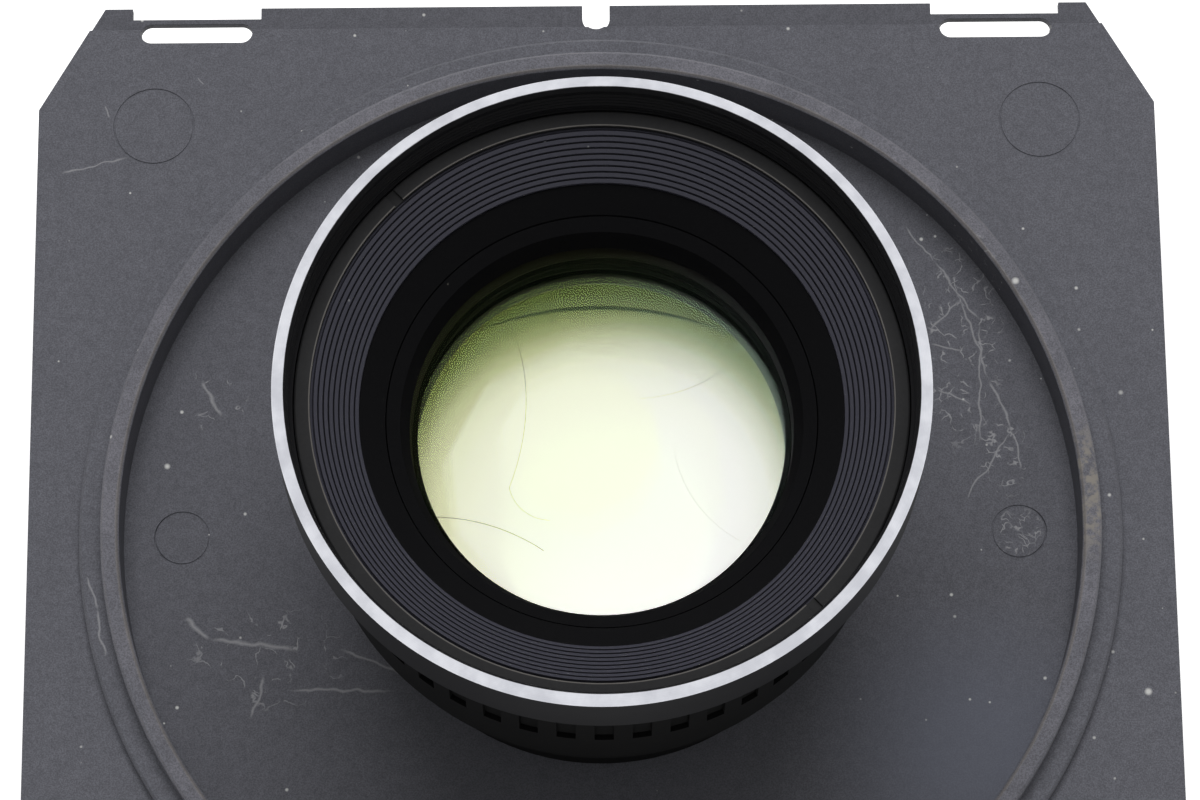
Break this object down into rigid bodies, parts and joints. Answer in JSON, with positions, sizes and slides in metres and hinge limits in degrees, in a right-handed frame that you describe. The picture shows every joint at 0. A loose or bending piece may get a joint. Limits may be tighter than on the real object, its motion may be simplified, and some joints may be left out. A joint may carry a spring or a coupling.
{
  "type": "enlarger lens",
  "caption": "Large-format darkroom enlarging lens on a flat lens board, with a ribbed front baffle, click-stop aperture ring and a closing iris.",
  "frame": {"origin": "on the optical axis, in the plane of the rear rim that the lens stands on", "axes": "+Z along the optical axis towards the front of the lens, +X across the width of the board, +Y towards the board edge shown at the top"},
  "size_m": [0.114, 0.1126, 0.0589],
  "materials": {
    "board_plastic": "moulded, fine matt grain with pale scuffs",
    "black_anodised": "turned aluminium, satin black anodised",
    "ring_black": "turned aluminium, satin black anodised, fluted grip, filled white scale",
    "collar_black": "black anodised aluminium with a bare turned rim",
    "baffle_black": "black anodised, fine turned ribs",
    "matt_black": "dead matt black lacquer",
    "dark_steel": "blackened steel",
    "ball_steel": "polished steel",
    "housing_brass": "blackened brass",
    "blade_steel": "blued spring steel, dry",
    "index_white": "enamel dot",
    "coated_glass": "clear optical glass, lightly tinted anti-reflection coating"
  },
  "bodies": {
    "barrel": {"lens_board": "board_plastic", "jam_ring": "black_anodised", "main_barrel": "black_anodised", "front_barrel": "black_anodised", "set_screws": "dark_steel", "front_collar": "collar_black", "ribbed_baffle_ring": "baffle_black", "front_retaining_ring": "baffle_black", "front_cell": "matt_black", "front_glass_ring": "matt_black", "front_spacer": "matt_black", "rear_cell": "matt_black", "rear_glass_ring": "matt_black", "rear_inner_ring": "matt_black", "iris_housing": "housing_brass", "iris_snap_ring": "dark_steel", "click_spring": "ball_steel", "index_dot": "index_white", "glass_element_1": "coated_glass", "glass_element_2": "coated_glass", "glass_element_3": "coated_glass", "glass_element_4": "coated_glass", "glass_element_5": "coated_glass", "glass_element_6": "coated_glass"},
    "aperture": {"aperture_ring": "ring_black", "drive_screw": "dark_steel", "iris_drive_ring": "housing_brass"},
    "click_ball": {"click_ball": "ball_steel"},
    "blade_01": {"iris_blade_01": "blade_steel"},
    "blade_02": {"iris_blade_02": "blade_steel"},
    "blade_03": {"iris_blade_03": "blade_steel"},
    "blade_04": {"iris_blade_04": "blade_steel"},
    "blade_05": {"iris_blade_05": "blade_steel"},
    "blade_06": {"iris_blade_06": "blade_steel"},
    "blade_07": {"iris_blade_07": "blade_steel"},
    "blade_08": {"iris_blade_08": "blade_steel"},
    "blade_09": {"iris_blade_09": "blade_steel"},
    "blade_10": {"iris_blade_10": "blade_steel"}
  },
  "joints": [
    {"name": "aperture_turn", "type": "hinge", "parent": "barrel", "child": "aperture", "pos_m": [0, 0, 0.036], "axis": [0, 0, 1], "range_deg": [0, 60]},
    {"name": "blade_01_swing", "type": "hinge", "parent": "barrel", "child": "blade_01", "pos_m": [0.021, 0, 0.0332], "axis": [0, 0, 1], "range_deg": [0, 36]},
    {"name": "blade_02_swing", "type": "hinge", "parent": "barrel", "child": "blade_02", "pos_m": [0.01699, 0.01234, 0.0332], "axis": [0, 0, 1], "range_deg": [0, 36]},
    {"name": "blade_03_swing", "type": "hinge", "parent": "barrel", "child": "blade_03", "pos_m": [0.00649, 0.01997, 0.0332], "axis": [0, 0, 1], "range_deg": [0, 36]},
    {"name": "blade_04_swing", "type": "hinge", "parent": "barrel", "child": "blade_04", "pos_m": [-0.00649, 0.01997, 0.0332], "axis": [0, 0, 1], "range_deg": [0, 36]},
    {"name": "blade_05_swing", "type": "hinge", "parent": "barrel", "child": "blade_05", "pos_m": [-0.01699, 0.01234, 0.0332], "axis": [0, 0, 1], "range_deg": [0, 36]},
    {"name": "blade_06_swing", "type": "hinge", "parent": "barrel", "child": "blade_06", "pos_m": [-0.021, 0, 0.0332], "axis": [0, 0, 1], "range_deg": [0, 36]},
    {"name": "blade_07_swing", "type": "hinge", "parent": "barrel", "child": "blade_07", "pos_m": [-0.01699, -0.01234, 0.0332], "axis": [0, 0, 1], "range_deg": [0, 36]},
    {"name": "blade_08_swing", "type": "hinge", "parent": "barrel", "child": "blade_08", "pos_m": [-0.00649, -0.01997, 0.0332], "axis": [0, 0, 1], "range_deg": [0, 36]},
    {"name": "blade_09_swing", "type": "hinge", "parent": "barrel", "child": "blade_09", "pos_m": [0.00649, -0.01997, 0.0332], "axis": [0, 0, 1], "range_deg": [0, 36]},
    {"name": "blade_10_swing", "type": "hinge", "parent": "barrel", "child": "blade_10", "pos_m": [0.01699, -0.01234, 0.0332], "axis": [0, 0, 1], "range_deg": [0, 36]},
    {"name": "click_ball_lift", "type": "slide", "parent": "barrel", "child": "click_ball", "axis": [0, 0, 1], "range_m": [0, 0.00025], "deforming": ["click_spring"]}
  ],
  "couplings": [
    {"joint": "blade_01_swing", "follows": "aperture_turn", "ratio": 0.59146},
    {"joint": "blade_02_swing", "follows": "aperture_turn", "ratio": 0.59146},
    {"joint": "blade_03_swing", "follows": "aperture_turn", "ratio": 0.59146},
    {"joint": "blade_04_swing", "follows": "aperture_turn", "ratio": 0.59146},
    {"joint": "blade_05_swing", "follows": "aperture_turn", "ratio": 0.59146},
    {"joint": "blade_06_swing", "follows": "aperture_turn", "ratio": 0.59146},
    {"joint": "blade_07_swing", "follows": "aperture_turn", "ratio": 0.59146},
    {"joint": "blade_08_swing", "follows": "aperture_turn", "ratio": 0.59146},
    {"joint": "blade_09_swing", "follows": "aperture_turn", "ratio": 0.59146},
    {"joint": "blade_10_swing", "follows": "aperture_turn", "ratio": 0.59146}
  ]
}
